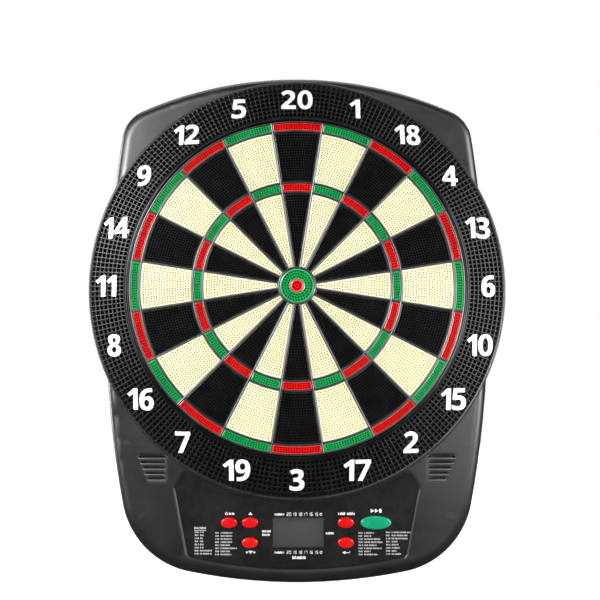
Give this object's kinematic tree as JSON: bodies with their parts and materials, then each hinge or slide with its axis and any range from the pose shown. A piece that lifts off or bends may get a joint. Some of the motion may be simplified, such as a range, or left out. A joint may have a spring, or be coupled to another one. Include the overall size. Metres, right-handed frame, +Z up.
{
  "type": "electronic dartboard",
  "caption": "Wall-hung electronic dartboard for soft-tip darts, with sprung scoring segments in a webbed frame, a gridded catch ring with numerals, and a control panel with display and buttons",
  "frame": {"origin": "On the wall plane, which is the flat rear face, straight behind the centre of the bull.", "axes": "+Z up. The playing face looks along -Y, so +Y points into the wall. +X is to the right of a player facing the board."},
  "size_m": [0.4983, 0.038, 0.6058],
  "materials": {
    "segment_black": "satin",
    "segment_cream": "satin",
    "segment_red": "gloss",
    "segment_green": "gloss",
    "spider_plastic": "satin",
    "mat_rubber": "matte",
    "film": "satin",
    "hardboard": "matte",
    "housing": "satin",
    "ring": "satin",
    "numeral_white": "satin",
    "cover": "matte",
    "contact_metal": "polished",
    "fascia": "satin",
    "window": "gloss",
    "lcd": "gloss",
    "pcb": "satin",
    "component": "matte",
    "keypad": "matte",
    "button_red": "gloss",
    "button_green": "gloss",
    "speaker_metal": "satin",
    "cone_paper": "matte",
    "wire": "satin",
    "screw_steel": "satin"
  },
  "bodies": {
    "cabinet": {"spider_frame": "spider_plastic", "rubber_mat": "mat_rubber", "contact_film_front": "film", "contact_film_rear": "film", "film_spacer": "film", "backing_board": "hardboard", "front_housing": "housing", "catch_ring": "ring", "numerals": "numeral_white", "rear_cover": "cover", "battery_contacts": "contact_metal", "wall_bumpers": "mat_rubber", "control_fascia": "fascia", "lcd_window": "window", "lcd_glass": "lcd", "zebra_strips": "mat_rubber", "circuit_board": "pcb", "board_components": "component", "keypad_mat": "keypad", "speaker": "speaker_metal", "speaker_cone": "cone_paper", "film_clamp": "component", "wiring": "wire", "case_screws": "screw_steel", "board_screws": "screw_steel", "frame_screws": "screw_steel", "board_fixings": "screw_steel"},
    "single_20": {"single_20": "segment_black"},
    "single_01": {"single_01": "segment_cream"},
    "single_18": {"single_18": "segment_black"},
    "single_04": {"single_04": "segment_cream"},
    "single_13": {"single_13": "segment_black"},
    "single_06": {"single_06": "segment_cream"},
    "single_10": {"single_10": "segment_black"},
    "single_15": {"single_15": "segment_cream"},
    "single_02": {"single_02": "segment_black"},
    "single_17": {"single_17": "segment_cream"},
    "single_03": {"single_03": "segment_black"},
    "single_19": {"single_19": "segment_cream"},
    "single_07": {"single_07": "segment_black"},
    "single_16": {"single_16": "segment_cream"},
    "single_08": {"single_08": "segment_black"},
    "single_11": {"single_11": "segment_cream"},
    "single_14": {"single_14": "segment_black"},
    "single_09": {"single_09": "segment_cream"},
    "single_12": {"single_12": "segment_black"},
    "single_05": {"single_05": "segment_cream"},
    "treble_red": {"treble_red": "segment_red"},
    "treble_green": {"treble_green": "segment_green"},
    "double_red": {"double_red": "segment_red"},
    "double_green": {"double_green": "segment_green"},
    "outer_bull": {"outer_bull": "segment_green"},
    "inner_bull": {"inner_bull": "segment_red"},
    "button_power": {"button_power": "button_red"},
    "button_up": {"button_up": "button_red"},
    "button_down": {"button_down": "button_red"},
    "button_select": {"button_select": "button_red"},
    "button_enter": {"button_enter": "button_red"},
    "button_next": {"button_next": "button_green"},
    "battery_door": {"battery_door": "cover"}
  },
  "joints": [
    {"name": "battery_door_hinge", "type": "hinge", "parent": "cabinet", "child": "battery_door", "pos_m": [-0.135, -0.00105, -0.3023], "axis": [-1, 0, 0], "range_deg": [0, 60]},
    {"name": "button_next_press", "type": "slide", "parent": "cabinet", "child": "button_next", "axis": [0, 1, 0], "range_m": [0, 0.0012], "stiffness_N_per_m": 300},
    {"name": "button_power_press", "type": "slide", "parent": "cabinet", "child": "button_power", "axis": [0, 1, 0], "range_m": [0, 0.0012], "stiffness_N_per_m": 300},
    {"name": "inner_bull_press", "type": "slide", "parent": "cabinet", "child": "inner_bull", "axis": [0, 1, 0], "range_m": [0, 0.001], "stiffness_N_per_m": 500},
    {"name": "outer_bull_press", "type": "slide", "parent": "cabinet", "child": "outer_bull", "axis": [0, 1, 0], "range_m": [0, 0.001], "stiffness_N_per_m": 500},
    {"name": "double_red_press", "type": "slide", "parent": "cabinet", "child": "double_red", "axis": [0, 1, 0], "range_m": [0, 0.001], "stiffness_N_per_m": 500},
    {"name": "treble_green_press", "type": "slide", "parent": "cabinet", "child": "treble_green", "axis": [0, 1, 0], "range_m": [0, 0.001], "stiffness_N_per_m": 500},
    {"name": "single_20_press", "type": "slide", "parent": "cabinet", "child": "single_20", "axis": [0, 1, 0], "range_m": [0, 0.001], "stiffness_N_per_m": 500},
    {"name": "single_05_press", "type": "slide", "parent": "cabinet", "child": "single_05", "axis": [0, 1, 0], "range_m": [0, 0.001], "stiffness_N_per_m": 500},
    {"name": "button_up_press", "type": "slide", "parent": "cabinet", "child": "button_up", "axis": [0, 1, 0], "range_m": [0, 0.0012], "stiffness_N_per_m": 300},
    {"name": "button_down_press", "type": "slide", "parent": "cabinet", "child": "button_down", "axis": [0, 1, 0], "range_m": [0, 0.0012], "stiffness_N_per_m": 300},
    {"name": "button_select_press", "type": "slide", "parent": "cabinet", "child": "button_select", "axis": [0, 1, 0], "range_m": [0, 0.0012], "stiffness_N_per_m": 300},
    {"name": "button_enter_press", "type": "slide", "parent": "cabinet", "child": "button_enter", "axis": [0, 1, 0], "range_m": [0, 0.0012], "stiffness_N_per_m": 300},
    {"name": "double_green_press", "type": "slide", "parent": "cabinet", "child": "double_green", "axis": [0, 1, 0], "range_m": [0, 0.001], "stiffness_N_per_m": 500},
    {"name": "treble_red_press", "type": "slide", "parent": "cabinet", "child": "treble_red", "axis": [0, 1, 0], "range_m": [0, 0.001], "stiffness_N_per_m": 500},
    {"name": "single_01_press", "type": "slide", "parent": "cabinet", "child": "single_01", "axis": [0, 1, 0], "range_m": [0, 0.001], "stiffness_N_per_m": 500},
    {"name": "single_18_press", "type": "slide", "parent": "cabinet", "child": "single_18", "axis": [0, 1, 0], "range_m": [0, 0.001], "stiffness_N_per_m": 500},
    {"name": "single_04_press", "type": "slide", "parent": "cabinet", "child": "single_04", "axis": [0, 1, 0], "range_m": [0, 0.001], "stiffness_N_per_m": 500},
    {"name": "single_13_press", "type": "slide", "parent": "cabinet", "child": "single_13", "axis": [0, 1, 0], "range_m": [0, 0.001], "stiffness_N_per_m": 500},
    {"name": "single_06_press", "type": "slide", "parent": "cabinet", "child": "single_06", "axis": [0, 1, 0], "range_m": [0, 0.001], "stiffness_N_per_m": 500},
    {"name": "single_10_press", "type": "slide", "parent": "cabinet", "child": "single_10", "axis": [0, 1, 0], "range_m": [0, 0.001], "stiffness_N_per_m": 500},
    {"name": "single_15_press", "type": "slide", "parent": "cabinet", "child": "single_15", "axis": [0, 1, 0], "range_m": [0, 0.001], "stiffness_N_per_m": 500},
    {"name": "single_02_press", "type": "slide", "parent": "cabinet", "child": "single_02", "axis": [0, 1, 0], "range_m": [0, 0.001], "stiffness_N_per_m": 500},
    {"name": "single_17_press", "type": "slide", "parent": "cabinet", "child": "single_17", "axis": [0, 1, 0], "range_m": [0, 0.001], "stiffness_N_per_m": 500},
    {"name": "single_03_press", "type": "slide", "parent": "cabinet", "child": "single_03", "axis": [0, 1, 0], "range_m": [0, 0.001], "stiffness_N_per_m": 500},
    {"name": "single_19_press", "type": "slide", "parent": "cabinet", "child": "single_19", "axis": [0, 1, 0], "range_m": [0, 0.001], "stiffness_N_per_m": 500},
    {"name": "single_07_press", "type": "slide", "parent": "cabinet", "child": "single_07", "axis": [0, 1, 0], "range_m": [0, 0.001], "stiffness_N_per_m": 500},
    {"name": "single_16_press", "type": "slide", "parent": "cabinet", "child": "single_16", "axis": [0, 1, 0], "range_m": [0, 0.001], "stiffness_N_per_m": 500},
    {"name": "single_08_press", "type": "slide", "parent": "cabinet", "child": "single_08", "axis": [0, 1, 0], "range_m": [0, 0.001], "stiffness_N_per_m": 500},
    {"name": "single_11_press", "type": "slide", "parent": "cabinet", "child": "single_11", "axis": [0, 1, 0], "range_m": [0, 0.001], "stiffness_N_per_m": 500},
    {"name": "single_14_press", "type": "slide", "parent": "cabinet", "child": "single_14", "axis": [0, 1, 0], "range_m": [0, 0.001], "stiffness_N_per_m": 500},
    {"name": "single_09_press", "type": "slide", "parent": "cabinet", "child": "single_09", "axis": [0, 1, 0], "range_m": [0, 0.001], "stiffness_N_per_m": 500},
    {"name": "single_12_press", "type": "slide", "parent": "cabinet", "child": "single_12", "axis": [0, 1, 0], "range_m": [0, 0.001], "stiffness_N_per_m": 500}
  ]
}
